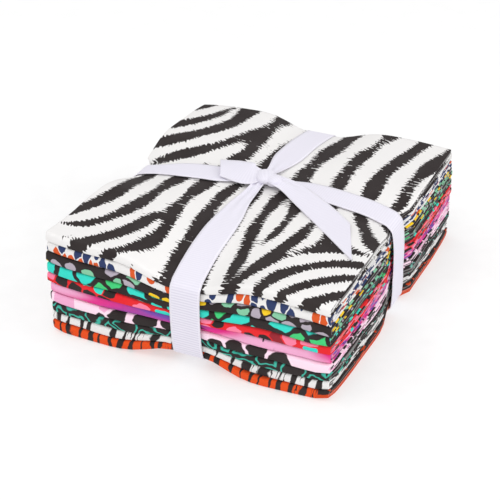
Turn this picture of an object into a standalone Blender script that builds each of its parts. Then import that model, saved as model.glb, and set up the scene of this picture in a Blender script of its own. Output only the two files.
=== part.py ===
"""A bundle of ten fat quarters of printed cotton, folded, stacked and tied crosswise with one ribbon.

The stack is first laid out square, in a nominal frame: x runs along the folds, y from the folded
front edge to the back, and s up through the free, uncompressed stack. Each fat quarter is one
section in y and s, folded in thirds round itself, which is extruded along x. press() then carries
every point into the shape that the tied ribbon pulls the stack into: grooves under the ribbon,
four puffed lobes between them, drooping corners and flat feet.
"""

import math
from collections import namedtuple

import bmesh
import bpy
from mathutils import Vector

MM = 0.001
INCH = 25.4 * MM

# The cut cloth. It is folded in thirds across its width, and that pack in thirds along its length,
# so each pass of the section below is a pack of three plies.
CUT_WIDTH = 18 * INCH
CUT_LENGTH = 21 * INCH
FOLDS = 3
HALF_X = CUT_WIDTH / FOLDS / 2 + 0.8 * MM
HALF_Y = CUT_LENGTH / FOLDS / 2 + 1.1 * MM

# The free stack.
FREE_HEIGHT = 55 * MM
PLY_GAP = 0.45 * MM
QUARTER_GAP = 0.55 * MM

# The ribbon, and what its pull does to the stack. Each of its two loops runs along one axis, a
# little to one side of the middle.
RIBBON_WIDTH = 16 * MM
RIBBON_THICK = 1.0 * MM
RIBBON_CLEAR = 0.6 * MM
SIDE_CLEAR = 1.0 * MM
RIBBON_BEND = 2.5 * MM
LOOP_X = 0 * MM
LOOP_Y = 7 * MM
GROOVE_REACH = 36 * MM
# The depth of each groove at the front, back, left and right rim, and where the loops cross.
Grooves = namedtuple("Grooves", "front back left right middle")
TOP_GROOVES = Grooves(9.3 * MM, 6.2 * MM, 6.2 * MM, 5.4 * MM, 1.2 * MM)
FOOT_GROOVES = Grooves(5.8 * MM, 5.0 * MM, 5.0 * MM, 2.8 * MM, 2.6 * MM)
SIDE_GROOVE = 1.6 * MM
RIM_GROOVE = 1.2 * MM
# How much deeper the ribbon pulls in the left and right sides, in a narrower groove.
SIDE_SQUEEZE = 2.6 * MM
# How far each corner sinks at the top, or stands up, and how far it lifts off at the foot.
Corners = namedtuple("Corners", "front_left front_right back_left back_right")
CORNER_DROOPS = Corners(-2.6 * MM, 4.2 * MM, 2.8 * MM, 0.8 * MM)
CORNER_LIFTS = Corners(2.0 * MM, 2.1 * MM, 1.5 * MM, 0.8 * MM)
CORNER_INSET = 1.6 * MM
SIDE_BULGE = 1.2 * MM

# Section and extrusion stations. Between the end of each groove and FOOT_X or FOOT_Y the underside
# lies flat on whatever the bundle stands on.
RIBBON_EDGE = RIBBON_WIDTH / 2
FOOT_X = 69 * MM
FOOT_Y = 80 * MM
OFFSETS = (RIBBON_EDGE, 24 * MM, RIBBON_EDGE + GROOVE_REACH)
SPLIT_ALONG = Vector((1.0, 1.0, 0.37))
FRONT_ARC_STEPS = 6
BACK_ARC_STEPS = 4

Quarter = namedtuple("Quarter", "name colour front back side skew")
# From the floor up. front, back and side are how far, in mm, that edge lies inside the square
# stack, and skew is how much further in the front edge is at its right end.
QUARTERS = (
    Quarter("quarter_tiger_orange", (0.90, 0.16, 0.02), 0.0, 0.0, 0.0, 0.0),
    Quarter("quarter_stripe_black_white", (0.80, 0.78, 0.76), 0.8, 0.9, 0.8, 0.5),
    Quarter("quarter_vein_teal", (0.03, 0.22, 0.18), 0.5, 0.4, 0.3, 0.0),
    Quarter("quarter_patch_pale_pink", (0.86, 0.55, 0.66), 0.9, 0.7, 0.6, -0.4),
    Quarter("quarter_patch_magenta", (0.72, 0.08, 0.42), 1.3, 0.3, 1.0, 0.4),
    Quarter("quarter_patch_red", (0.80, 0.02, 0.05), 0.1, 0.8, 0.4, 0.5),
    Quarter("quarter_patch_turquoise", (0.04, 0.62, 0.52), 0.2, 0.2, 0.7, 0.0),
    Quarter("quarter_patch_mint_black", (0.05, 0.05, 0.05), 0.0, 0.9, 0.2, 0.6),
    Quarter("quarter_spot_navy", (0.05, 0.08, 0.20), 0.2, 0.4, 0.6, 0.0),
    Quarter("quarter_zebra", (0.84, 0.82, 0.80), 0.6, 0.2, 0.3, 0.3),
)
QUARTER_PITCH = (FREE_HEIGHT + QUARTER_GAP) / len(QUARTERS)
PASS_THICK = (QUARTER_PITCH - QUARTER_GAP - 2 * PLY_GAP) / FOLDS
PASS_PITCH = PASS_THICK + PLY_GAP
# How far the ends of the inner, lower and upper pass lie inside the widest one.
PASS_INSETS = (1.1 * MM, 0.0, 0.5 * MM)

# The knot, and how the ribbon narrows on its way into it.
RIBBON_WHITE = (0.88, 0.87, 0.93)
KNOT_CENTRE = (-2.0 * MM, 11.5 * MM, 57.2 * MM)
KNOT_SIZE = (14 * MM, 12.5 * MM, 6.6 * MM)
KNOT_TURN = math.radians(-18)
KNOT_SEGMENTS = 20
KNOT_RINGS = 10
GATHERED_WIDTH = 8 * MM
# From where to where it widens again, seen from the knot: towards the front, and on the other arms.
FRONT_GATHER = (16 * MM, 50 * MM)
OTHER_GATHER = (4 * MM, 28 * MM)

# The two free ends, as the middle line of the underside. A slanting cut makes the edge on the
# right-hand side of each, seen along it from the knot, the longer by the skew.
Point = namedtuple("Point", "x y z width")
LONG_TAIL = (
    Point(0.0, 10.5, 56.8, 8.5),
    Point(7.5, 8.6, 56.4, 11.0),
    Point(15.8, 5.6, 56.1, 13.0),
    Point(27.8, -2.1, 55.9, 15.0),
    Point(39.9, -11.6, 55.4, 16.0),
    Point(53.1, -23.0, 55.6, 16.0),
    Point(65.4, -33.8, 55.7, 16.0),
)
LONG_TAIL_SKEW = 36 * MM
SHORT_TAIL = (
    Point(-3.0, 11.6, 56.8, 8.0),
    Point(-8.5, 10.9, 57.3, 13.0),
    Point(-16.0, 11.0, 57.4, 15.0),
    Point(-28.6, 12.0, 56.2, 14.5),
)
SHORT_TAIL_SKEW = 10 * MM


def clamped(value):
    """The value, kept between 0 and 1."""
    return min(max(value, 0.0), 1.0)


def smooth(value):
    """A smooth step from 0 to 1 while the value goes from 0 to 1."""
    t = clamped(value)
    return t * t * (3 - 2 * t)


def groove(distance):
    """1 under the ribbon, falling smoothly to 0 at the end of the groove beside it."""
    t = clamped((abs(distance) - RIBBON_EDGE) / GROOVE_REACH)
    return (1 - t) ** 3 * (1 + 3 * t)


def groove_depth(x, y, grooves):
    """Depth of the crossing grooves at a point, growing from where they cross to each rim."""
    rim_y = grooves.front if y < 0 else grooves.back
    rim_x = grooves.left if x < 0 else grooves.right
    far_x, far_y = clamped(abs(x) / HALF_X) ** 3, clamped(abs(y) / HALF_Y) ** 3
    along_y = groove(x - LOOP_X) * (grooves.middle + (rim_y - grooves.middle) * far_y)
    along_x = groove(y - LOOP_Y) * (grooves.middle + (rim_x - grooves.middle) * far_x)
    return along_y + along_x - along_y * along_x / max(grooves)


def corner_value(x, y, corners):
    """The value of the corner that a point is nearest to."""
    if y < 0:
        return corners.front_left if x < 0 else corners.front_right
    return corners.back_left if x < 0 else corners.back_right


def top_height(x, y):
    """Height of the top of the tied stack."""
    corner = (clamped(abs(x) / HALF_X) * clamped(abs(y) / HALF_Y)) ** 4
    droop = corner_value(x, y, CORNER_DROOPS) * corner
    return FREE_HEIGHT - groove_depth(x, y, TOP_GROOVES) - droop


def foot_height(x, y):
    """Height of the underside: 0 on the four feet, raised in the grooves and at the corners."""
    lift_x = clamped((abs(x) - FOOT_X) / (HALF_X - FOOT_X))
    lift_y = clamped((abs(y) - FOOT_Y) / (HALF_Y - FOOT_Y))
    lift = corner_value(x, y, CORNER_LIFTS) * lift_x * lift_y
    return groove_depth(x, y, FOOT_GROOVES) + lift


def press(x, y, s):
    """Carries a point of the square, free stack to its place in the tied bundle."""
    top, foot = top_height(x, y), foot_height(x, y)
    inside = min(max(s, 0.0), FREE_HEIGHT)
    z = foot + (top - foot) * inside / FREE_HEIGHT + (s - inside)
    rim = abs(2 * inside / FREE_HEIGHT - 1)
    side_x, side_y = clamped(abs(x) / HALF_X) ** 4, clamped(abs(y) / HALF_Y) ** 4
    tuck = SIDE_GROOVE + RIM_GROOVE * rim ** 6
    bulge = SIDE_BULGE * (1 - rim ** 2) - CORNER_INSET * side_x * side_y
    under = groove(y - LOOP_Y)
    out_x = (bulge - tuck * under - SIDE_SQUEEZE * under ** 3) * side_x
    out_y = (bulge - tuck * groove(x - LOOP_X)) * side_y
    return x + out_x * math.copysign(1, x), y + out_y * math.copysign(1, y), z


def stations(centre, foot):
    """Places along an axis where the shape changes: beside a loop's centre, and at a foot's end."""
    inner = [centre - offset for offset in reversed(OFFSETS)] + [centre + offset for offset in OFFSETS]
    return [-foot, *inner, foot]


def material(name, colour, roughness):
    """A cloth finish of one colour."""
    made = bpy.data.materials.new(name)
    made.use_nodes = True
    shader = made.node_tree.nodes["Principled BSDF"]
    shader.inputs["Base Color"].default_value = (*colour, 1.0)
    shader.inputs["Roughness"].default_value = roughness
    shader.inputs["Metallic"].default_value = 0.0
    return made


def finished(name, bm, finish):
    """Turns a bmesh into a named object with its faces out and its folds smooth."""
    bmesh.ops.recalc_face_normals(bm, faces=bm.faces)
    mesh = bpy.data.meshes.new(name)
    bm.to_mesh(mesh)
    bm.free()
    mesh.materials.append(finish)
    mesh.shade_smooth()
    mesh.set_sharp_from_angle(angle=math.radians(50))
    made = bpy.data.objects.new(name, mesh)
    bpy.context.scene.collection.objects.link(made)
    return made


def arc(centre_y, centre_s, radius, start, end, steps):
    """Pairs of outer and inner points round a fold, without the two at its ends."""
    pairs = []
    for step in range(1, steps):
        angle = start + (end - start) * step / steps
        pairs.append(tuple(
            (centre_y + r * math.cos(angle), centre_s + r * math.sin(angle))
            for r in (radius + PASS_THICK / 2, radius - PASS_THICK / 2)
        ))
    return pairs


def fold_section(level, front, back):
    """One fat quarter's section, from its inner free end to its upper one.

    Args: level, the s of its underside; front and back, the y that its two folds reach.
    Returns: a list of (outer point, inner point, inset), each point a (y, s).
    """
    lower = level + PASS_THICK / 2
    inner, upper = lower + PASS_PITCH, lower + 2 * PASS_PITCH
    front_radius, back_radius = (upper - lower) / 2, (inner - lower) / 2
    front_y = front + front_radius + PASS_THICK / 2
    back_y = back - back_radius - PASS_THICK / 2
    ys = [front_y, *stations(LOOP_Y, FOOT_Y), back_y]

    def level_pass(s, order, outer, inset):
        half = outer * PASS_THICK / 2
        return [((y, s + half), (y, s - half), inset) for y in order]

    inner_inset, lower_inset, upper_inset = PASS_INSETS
    section = level_pass(inner, ys, 1, inner_inset)
    back_fold = arc(back_y, (lower + inner) / 2, back_radius, math.pi / 2, -math.pi / 2, BACK_ARC_STEPS)
    section += [(*pair, (inner_inset + lower_inset) / 2) for pair in back_fold]
    section += level_pass(lower, reversed(ys), -1, lower_inset)
    front_fold = arc(front_y, inner, front_radius, -math.pi / 2, -3 * math.pi / 2, FRONT_ARC_STEPS)
    section += [(*pair, (lower_inset + upper_inset) / 2) for pair in front_fold]
    section += level_pass(upper, ys, 1, upper_inset)
    return section


def split_alike(bm):
    """Splits every face along the same diagonal, so pieces that lie together bend together."""
    for face in list(bm.faces):
        corners = list(face.verts)
        first = min(range(4), key=lambda i: corners[i].co.dot(SPLIT_ALONG))
        bmesh.utils.face_split(face, corners[first], corners[first - 2])


def fat_quarter(index, quarter):
    """One folded fat quarter: its section, extruded along the folds and pressed into the bundle."""
    level = index * QUARTER_PITCH
    front, back = -HALF_Y + quarter.front * MM, HALF_Y - quarter.back * MM
    end = HALF_X - quarter.side * MM
    xs = [-end, *stations(LOOP_X, FOOT_X), end]
    bm = bmesh.new()
    inset_of = bm.verts.layers.float.new("inset")
    pairs = []
    for outer, inner, inset in fold_section(level, front, back):
        pair = [bm.verts.new((0.0, *point)) for point in (outer, inner)]
        for vert in pair:
            vert[inset_of] = inset
        pairs.append(pair)
    for a, b in zip(pairs, pairs[1:]):
        bm.faces.new((a[0], a[1], b[1], b[0]))
    cap = [*bm.verts, *bm.edges, *bm.faces]
    for vert in bm.verts:
        vert.co.x = xs[0] + vert[inset_of]
    for x in xs[1:]:
        cap = bmesh.ops.extrude_face_region(bm, geom=cap)["geom"]
        for vert in [item for item in cap if isinstance(item, bmesh.types.BMVert)]:
            vert.co.x = x - vert[inset_of] if x == end else x
    split_alike(bm)
    for vert in bm.verts:
        x, y, s = vert.co
        if y < 0:
            share = (x / HALF_X + 1) / 2
            y += quarter.skew * MM * share * clamped(-y / HALF_Y) ** 4
        vert.co = press(x, y, s)
    return finished(quarter.name, bm, material(quarter.name, quarter.colour, 0.9))


def loop_path(half, places, grow):
    """Points (t, s) once round a section of the free stack, grow outside the ribbon's inner face.

    Args: half, half the stack along t; places, the t of the points over and under it.
    """
    reach, high = half + SIDE_CLEAR + grow, FREE_HEIGHT + RIBBON_CLEAR + grow
    low, radius = -RIBBON_CLEAR - grow, RIBBON_BEND + grow

    def corner(t, s, start):
        angles = [math.radians(start - 90 * step / 4) for step in range(5)]
        return [(t + radius * math.cos(angle), s + radius * math.sin(angle)) for angle in angles]

    right, top, bottom = reach - radius, high - radius, low + radius
    levels = [FREE_HEIGHT * share for share in (0.25, 0.5, 0.75)]
    path = [(t, high) for t in places] + corner(right, top, 90)
    path += [(reach, s) for s in reversed(levels)] + corner(right, bottom, 0)
    path += [(t, low) for t in reversed(places)] + corner(-right, bottom, -90)
    path += [(-reach, s) for s in levels] + corner(-right, top, 180)
    return path


def skin(bm, rings, closed):
    """Joins rings of four points into a band, ended by a face at each end unless it is closed."""
    rings = [[bm.verts.new(point) for point in ring] for ring in rings]
    joins = list(zip(rings, rings[1:]))
    if closed:
        joins.append((rings[-1], rings[0]))
    else:
        bm.faces.new(rings[0])
        bm.faces.new(rings[-1])
    for a, b in joins:
        for i in range(4):
            bm.faces.new((a[i], a[(i + 1) % 4], b[(i + 1) % 4], b[i]))


def ribbon_loop(name, half, foot, cross, centre, lift, place, gather):
    """One loop of the ribbon round the stack.

    Args: half, half the stack along the loop; foot, where its feet end; cross, where along it the
        knot is; centre, the loop's own middle line; lift, its distance outside the other loop;
        place, which turns (along, across, s) into (x, y, s); gather, from where to where the arm
        before the knot widens.
    """
    rings = []
    places = sorted({*stations(cross, foot), cross - 16 * MM, cross, cross + 16 * MM})
    inner, outer = loop_path(half, places, lift), loop_path(half, places, lift + RIBBON_THICK)
    for (t_in, s_in), (t_out, s_out) in zip(inner, outer):
        width = RIBBON_WIDTH
        if s_in > FREE_HEIGHT:
            start, end = gather if t_in < cross else OTHER_GATHER
            share = smooth((abs(t_in - cross) - start) / (end - start))
            width = GATHERED_WIDTH + (RIBBON_WIDTH - GATHERED_WIDTH) * share
        low, high = centre - width / 2, centre + width / 2
        ring = ((t_in, low, s_in), (t_in, high, s_in), (t_out, high, s_out), (t_out, low, s_out))
        rings.append([press(*place(*point)) for point in ring])
    bm = bmesh.new()
    skin(bm, rings, True)
    return finished(name, bm, material(name, RIBBON_WHITE, 0.6))


def ribbon_tail(name, points, skew):
    """One free end of the ribbon, through the middle points of its underside."""
    rings = []
    for i, point in enumerate(points):
        before, after = points[max(i - 1, 0)], points[min(i + 1, len(points) - 1)]
        heading = math.atan2(after.y - before.y, after.x - before.x)
        ahead, left = (math.cos(heading), math.sin(heading)), (-math.sin(heading), math.cos(heading))
        slant = skew / MM / 2 if point is points[-1] else 0.0
        edges = []
        for side in (-1, 1):
            across, along = side * point.width / 2, -side * slant
            edges.append((
                (point.x + across * left[0] + along * ahead[0]) * MM,
                (point.y + across * left[1] + along * ahead[1]) * MM,
            ))
        low, high = point.z * MM, point.z * MM + RIBBON_THICK
        rings.append([(*edges[0], low), (*edges[1], low), (*edges[1], high), (*edges[0], high)])
    bm = bmesh.new()
    skin(bm, rings, False)
    return finished(name, bm, material(name, RIBBON_WHITE, 0.6))


def ribbon_knot(name):
    """The knot: a pillow, pinched in along a crease where the ribbon wraps round itself."""
    bm = bmesh.new()
    bmesh.ops.create_uvsphere(bm, u_segments=KNOT_SEGMENTS, v_segments=KNOT_RINGS, radius=1.0)
    for vert in bm.verts:
        x, y, z = (math.copysign(abs(value) ** 0.8, value) for value in vert.co)
        pinch = 1 - 0.16 * math.exp(-((x - 0.15) / 0.22) ** 2)
        x, y, z = x * KNOT_SIZE[0] / 2, y * pinch * KNOT_SIZE[1] / 2, z * pinch * KNOT_SIZE[2] / 2
        cos, sin = math.cos(KNOT_TURN), math.sin(KNOT_TURN)
        vert.co = (
            KNOT_CENTRE[0] + x * cos - y * sin,
            KNOT_CENTRE[1] + x * sin + y * cos,
            KNOT_CENTRE[2] + z,
        )
    return finished(name, bm, material(name, RIBBON_WHITE, 0.6))


def along_y(along, across, s):
    """Places a point of the loop that runs from front to back."""
    return across, along, s


def along_x(along, across, s):
    """Places a point of the loop that runs from side to side."""
    return along, across, s


def ribbon():
    """The ribbon: two loops, the knot and the two free ends, joined into one solid."""
    base = ribbon_loop("ribbon", HALF_Y, FOOT_Y, LOOP_Y, LOOP_X, 0.0, along_y, FRONT_GATHER)
    over = RIBBON_THICK / 2
    parts = [
        ribbon_loop("ribbon_side_loop", HALF_X, FOOT_X, LOOP_X, LOOP_Y, over, along_x, OTHER_GATHER),
        ribbon_knot("ribbon_knot"),
        ribbon_tail("ribbon_long_tail", LONG_TAIL, LONG_TAIL_SKEW),
        ribbon_tail("ribbon_short_tail", SHORT_TAIL, SHORT_TAIL_SKEW),
    ]
    for part in parts:
        join = base.modifiers.new(part.name, "BOOLEAN")
        join.operation = "UNION"
        join.solver = "EXACT"
        join.object = part
        part.hide_render = True
        part.display_type = "WIRE"
    return base


def main():
    """Builds the ten folded fat quarters and the ribbon."""
    for old in list(bpy.data.objects):
        bpy.data.objects.remove(old)
    for index, quarter in enumerate(QUARTERS):
        fat_quarter(index, quarter)
    ribbon()


main()
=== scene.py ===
"""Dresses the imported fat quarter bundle: ten folded, printed cottons and the ribbon that ties them.

Each fat quarter is one sheet of cloth, folded in thirds across its width and then in thirds along
its length, so it has nine plies. The sheet is laid out in a nominal frame, x along the folds, y from
the folded front to the back and s up through the free stack, and BundleShape.press() carries it into
the shape that the tied ribbon pulls the stack into, as it does for the solids of the frame.
"""

import logging
import math
from dataclasses import dataclass, field
from enum import Enum
from typing import Callable, NamedTuple, Optional, Union

import bpy
import numpy as np
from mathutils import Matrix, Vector

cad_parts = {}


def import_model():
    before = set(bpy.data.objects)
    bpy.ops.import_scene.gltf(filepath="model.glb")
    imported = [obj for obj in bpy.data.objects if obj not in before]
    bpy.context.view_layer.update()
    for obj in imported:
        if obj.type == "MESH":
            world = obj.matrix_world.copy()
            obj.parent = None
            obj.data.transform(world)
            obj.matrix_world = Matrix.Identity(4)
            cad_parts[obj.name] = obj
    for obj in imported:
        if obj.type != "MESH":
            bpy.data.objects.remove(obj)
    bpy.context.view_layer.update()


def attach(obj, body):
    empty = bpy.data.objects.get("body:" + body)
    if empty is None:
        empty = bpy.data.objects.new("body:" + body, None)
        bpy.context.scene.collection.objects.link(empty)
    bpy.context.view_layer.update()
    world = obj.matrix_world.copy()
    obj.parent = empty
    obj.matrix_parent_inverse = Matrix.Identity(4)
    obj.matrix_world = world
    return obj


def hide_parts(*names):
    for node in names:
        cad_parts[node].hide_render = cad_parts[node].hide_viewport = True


log = logging.getLogger("bundle")

MM = 0.001
INCH = 25.4 * MM
CLOTH_WIDTH, CLOTH_LENGTH = 18 * INCH, 21 * INCH
THIRDS = 3
RIBBON_WIDTH = 16 * MM
RIB_PITCH = 1.38 * MM
Array = np.ndarray
Piece = bpy.types.Object
Socket = bpy.types.NodeSocket


# ---------------------------------------------------------------------------------------- shape


def smooth(value: Array) -> Array:
    """A smooth step from 0 to 1 while the value goes from 0 to 1."""
    t = np.clip(value, 0.0, 1.0)
    return t * t * (3 - 2 * t)


def run_along(*coords: Array) -> Array:
    """The distance along a line at each of its points. Args: coords, the line's coordinates."""
    steps = np.sqrt(sum(np.diff(c) ** 2 for c in coords))
    return np.concatenate([[0], np.cumsum(steps)])


class Waves:
    """Gentle seeded unevenness: a sum of sine waves over any number of coordinates."""

    def __init__(self, seed: int, wavelength: float, dims: int = 1, count: int = 5):
        """Args: seed; wavelength, the mean one, in metres; dims, how many coordinates; count."""
        rng = np.random.default_rng(seed)
        turn = rng.normal(size=(count, dims))
        turn /= np.linalg.norm(turn, axis=1, keepdims=True)
        self._k = turn * (2 * math.pi / wavelength) * rng.uniform(0.55, 1.6, (count, 1))
        self._phase = rng.uniform(0, 2 * math.pi, count)
        self._share = rng.uniform(0.6, 1.0, count) / math.sqrt(count)

    def __call__(self, *coords: Array) -> Array:
        """The unevenness at places.

        Args: coords, one array for each dimension.
        Returns: values of about -1 to 1, one for each place.
        """
        total = 0.0
        for k, phase, share in zip(self._k, self._phase, self._share):
            total = total + share * np.sin(sum(f * c for f, c in zip(k, coords)) + phase)
        return total


class Grooves(NamedTuple):
    """Depths of the ribbon's grooves, in metres: at each rim, and where they cross."""

    front: float
    back: float
    left: float
    right: float
    middle: float


class Corners(NamedTuple):
    """A length at each corner, in metres."""

    front_left: float
    front_right: float
    back_left: float
    back_right: float


@dataclass(frozen=True)
class BundleShape:
    """The tied stack's shape, in metres: the solids', with a sharper groove behind the ribbon."""

    half_x: float = CLOTH_WIDTH / THIRDS / 2 + 0.8 * MM
    half_y: float = CLOTH_LENGTH / THIRDS / 2 + 1.1 * MM
    height: float = 55 * MM
    loop_x: float = 0.0
    loop_y: float = 7 * MM
    ribbon_width: float = RIBBON_WIDTH
    groove_reach: float = 36 * MM
    top_grooves: Grooves = Grooves(9.3 * MM, 6.2 * MM, 6.2 * MM, 5.4 * MM, 1.2 * MM)
    foot_grooves: Grooves = Grooves(5.8 * MM, 5.0 * MM, 5.0 * MM, 2.8 * MM, 2.6 * MM)
    side_groove: float = 1.6 * MM
    rim_groove: float = 1.2 * MM
    side_squeeze: float = 2.6 * MM
    left_squeeze: float = 0.9 * MM  # more of it on the left side
    # How much narrower the groove is behind the ribbon, on the right side and on the left side.
    back_sharpness: float = 0.6
    left_sharpness: float = 0.82
    # The same on the top and the underside, from right_start on: behind the ribbon, more of it low
    # down, and in front of it low down.
    right_start: float = 52 * MM
    right_fade: float = 22 * MM
    right_behind: float = 0.45
    right_behind_low: float = 0.3
    right_front_low: float = 0.35
    low_height: float = 20 * MM
    foot_shift: float = 2.5 * MM
    foot_ease: float = 0.35
    corner_droops: Corners = Corners(-2.6 * MM, 4.2 * MM, 2.8 * MM, 0.8 * MM)
    corner_lifts: Corners = Corners(2.0 * MM, 2.1 * MM, 1.5 * MM, 0.8 * MM)
    corner_inset: float = 1.6 * MM
    side_bulge: float = 1.2 * MM
    foot_x: float = 69 * MM
    foot_y: float = 80 * MM

    def groove(self, distance: Array, share: Array = 1.0) -> Array:
        """1 under the ribbon, falling smoothly to 0 at the end of the groove beside it."""
        t = np.clip((np.abs(distance) - self.ribbon_width / 2) / (self.groove_reach * share), 0, 1)
        return (1 - t) ** 3 * (1 + 3 * t)

    def beside(self, x: Array, y: Array, low: Array) -> Array:
        """The groove of the loop from side to side, which is sharper on the right.

        Args: x and y; low, 1 at the floor and 0 from low_height up.
        Returns: 1 under the ribbon, 0 past the groove.
        """
        right = np.clip((x - self.right_start) / self.right_fade, 0, 1)
        away = y - self.loop_y + self.foot_shift * right * low
        behind = self.right_behind + self.right_behind_low * low
        return self.groove(away, 1 - right * np.where(away > 0, behind, self.right_front_low * low))

    def far(self, x: Array, y: Array) -> tuple:
        """How far out a place is along each axis: 0 in the middle, 1 at the rim."""
        return np.clip(np.abs(x) / self.half_x, 0, 1), np.clip(np.abs(y) / self.half_y, 0, 1)

    def depth(self, x: Array, y: Array, grooves: Grooves, low: float = 0.0) -> Array:
        """Depth of the crossing grooves, growing from where they cross to each rim.

        Args: x and y; grooves, the depths at the rims; low, as in beside().
        Returns: the depth at each place, in metres.
        """
        far_x, far_y = self.far(x, y)
        rim_y = np.where(y < 0, grooves.front, grooves.back) - grooves.middle
        rim_x = np.where(x < 0, grooves.left, grooves.right) - grooves.middle
        along_y = self.groove(x - self.loop_x) * (grooves.middle + rim_y * far_y**3)
        along_x = self.beside(x, y, low) * (grooves.middle + rim_x * far_x**3)
        return along_y + along_x - along_y * along_x / max(grooves)

    def corner(self, x: Array, y: Array, corners: Corners) -> Array:
        """The value of the corner that each place is nearest to."""
        front = np.where(x < 0, corners.front_left, corners.front_right)
        return np.where(y < 0, front, np.where(x < 0, corners.back_left, corners.back_right))

    def top(self, x: Array, y: Array) -> Array:
        """Height of the top of the tied stack.

        Args: x and y.
        Returns: the height at each place.
        """
        far_x, far_y = self.far(x, y)
        droop = self.corner(x, y, self.corner_droops) * (far_x * far_y) ** 4
        return self.height - self.depth(x, y, self.top_grooves) - droop

    def foot(self, x: Array, y: Array) -> Array:
        """Height of the underside, which is 0 on the four feet.

        Args: x and y.
        Returns: the height at each place.
        """
        lift_x = np.clip((np.abs(x) - self.foot_x) / (self.half_x - self.foot_x), 0, 1)
        lift_y = np.clip((np.abs(y) - self.foot_y) / (self.half_y - self.foot_y), 0, 1)
        lift = self.corner(x, y, self.corner_lifts) * lift_x * lift_y
        return self.depth(x, y, self.foot_grooves, 1.0) + lift

    def press(self, x: Array, y: Array, s: Array) -> Array:
        """Carries points of the square, free stack to their places in the tied bundle.

        Args: x, y, s, arrays that broadcast to one shape.
        Returns: an array of that shape with a last axis of (x, y, z).
        """
        x, y, s = np.broadcast_arrays(x, y, s)
        top, foot = self.top(x, y), self.foot(x, y)
        inside = np.clip(s, 0, self.height)
        z = foot + (top - foot) * inside / self.height + (s - inside)
        rim = np.abs(2 * inside / self.height - 1)
        side_x, side_y = (far**4 for far in self.far(x, y))
        tuck = self.side_groove + self.rim_groove * rim**6
        bulge = self.side_bulge * (1 - rim**2) - self.corner_inset * side_x * side_y
        low = np.clip(1 - inside / self.low_height, 0, 1)
        under = self.beside(x, y, low)
        sharpness = np.where(x < 0, self.left_sharpness, self.back_sharpness)
        behind = self.groove(y - self.loop_y, 1 - sharpness)
        under = np.where(y > self.loop_y, np.minimum(under, behind), under)
        ease = 1 - self.foot_ease * low * (x > 0)
        squeeze = self.side_squeeze + self.left_squeeze * (x < 0)
        out_x = (bulge - (tuck * under + squeeze * under**5) * ease) * side_x
        out_y = (bulge - tuck * self.groove(x - self.loop_x)) * side_y
        return np.stack([x + out_x * np.sign(x), y + out_y * np.sign(y), z], axis=-1)


def grid_object(name: str, points: Array, uv: Array, closed: bool = False) -> Piece:
    """Makes a mesh object from a grid of points, with a UV map and smooth shading.

    Args: name; points, (rows, columns, 3); uv, (rows, columns, 2), in metres on the flat cloth;
        closed, whether the last row joins the first.
    Returns: the object, linked to the scene.
    """
    rows, columns = points.shape[:2]
    index = np.arange(rows * columns).reshape(rows, columns)
    wide = np.concatenate([index, index[:1]]) if closed else index
    quads = np.stack([wide[:-1, :-1], wide[:-1, 1:], wide[1:, 1:], wide[1:, :-1]], axis=-1)
    mesh = bpy.data.meshes.new(name)
    mesh.from_pydata(points.reshape(-1, 3).tolist(), [], quads.reshape(-1, 4).tolist())
    layer = mesh.uv_layers.new(name="cloth")
    corners = np.zeros(len(mesh.loops), np.int64)
    mesh.loops.foreach_get("vertex_index", corners)
    layer.data.foreach_set("uv", uv.reshape(-1, 2)[corners].astype(np.float32).ravel())
    mesh.shade_smooth()
    made = bpy.data.objects.new(name, mesh)
    bpy.context.scene.collection.objects.link(made)
    return made


def store_values(mesh: bpy.types.Mesh, name: str, values: Array) -> None:
    """Stores a number on each vertex. Args: mesh; name, the attribute's; values, one a vertex."""
    attribute = mesh.attributes.new(name, "FLOAT", "POINT")
    attribute.data.foreach_set("value", values.ravel().astype(np.float32))


def thicken(piece: Piece, thickness: float, offset: float = 0.0, rim: int = 0, back: int = 0) -> None:
    """Gives a sheet its thickness with a Solidify modifier, applied to the mesh.

    Args: piece; thickness, in metres; offset, from -1 (inwards) to 1; rim and back, the material
        slots of the cut edge and of the reverse.
    """
    solid = piece.modifiers.new("thickness", "SOLIDIFY")
    solid.thickness = thickness
    solid.offset = offset
    solid.material_offset = back
    solid.material_offset_rim = rim
    evaluated = piece.evaluated_get(bpy.context.evaluated_depsgraph_get())
    mesh = bpy.data.meshes.new_from_object(evaluated)
    piece.modifiers.clear()
    old, piece.data = piece.data, mesh
    mesh.name = old.name
    bpy.data.meshes.remove(old)


def take_place(piece: Piece, node: str) -> None:
    """Puts a piece in the place of a solid, on the part's one body. Args: piece; node, the solid's."""
    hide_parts(node)
    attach(piece, "root")


# ------------------------------------------------------------------------------------ materials


def linear(red: int, green: int, blue: int) -> tuple:
    """An sRGB colour of 0 to 255 as linear RGBA."""
    channels = [c / 255 for c in (red, green, blue)]
    return (*[c / 12.92 if c <= 0.04045 else ((c + 0.055) / 1.055) ** 2.4 for c in channels], 1.0)


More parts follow.
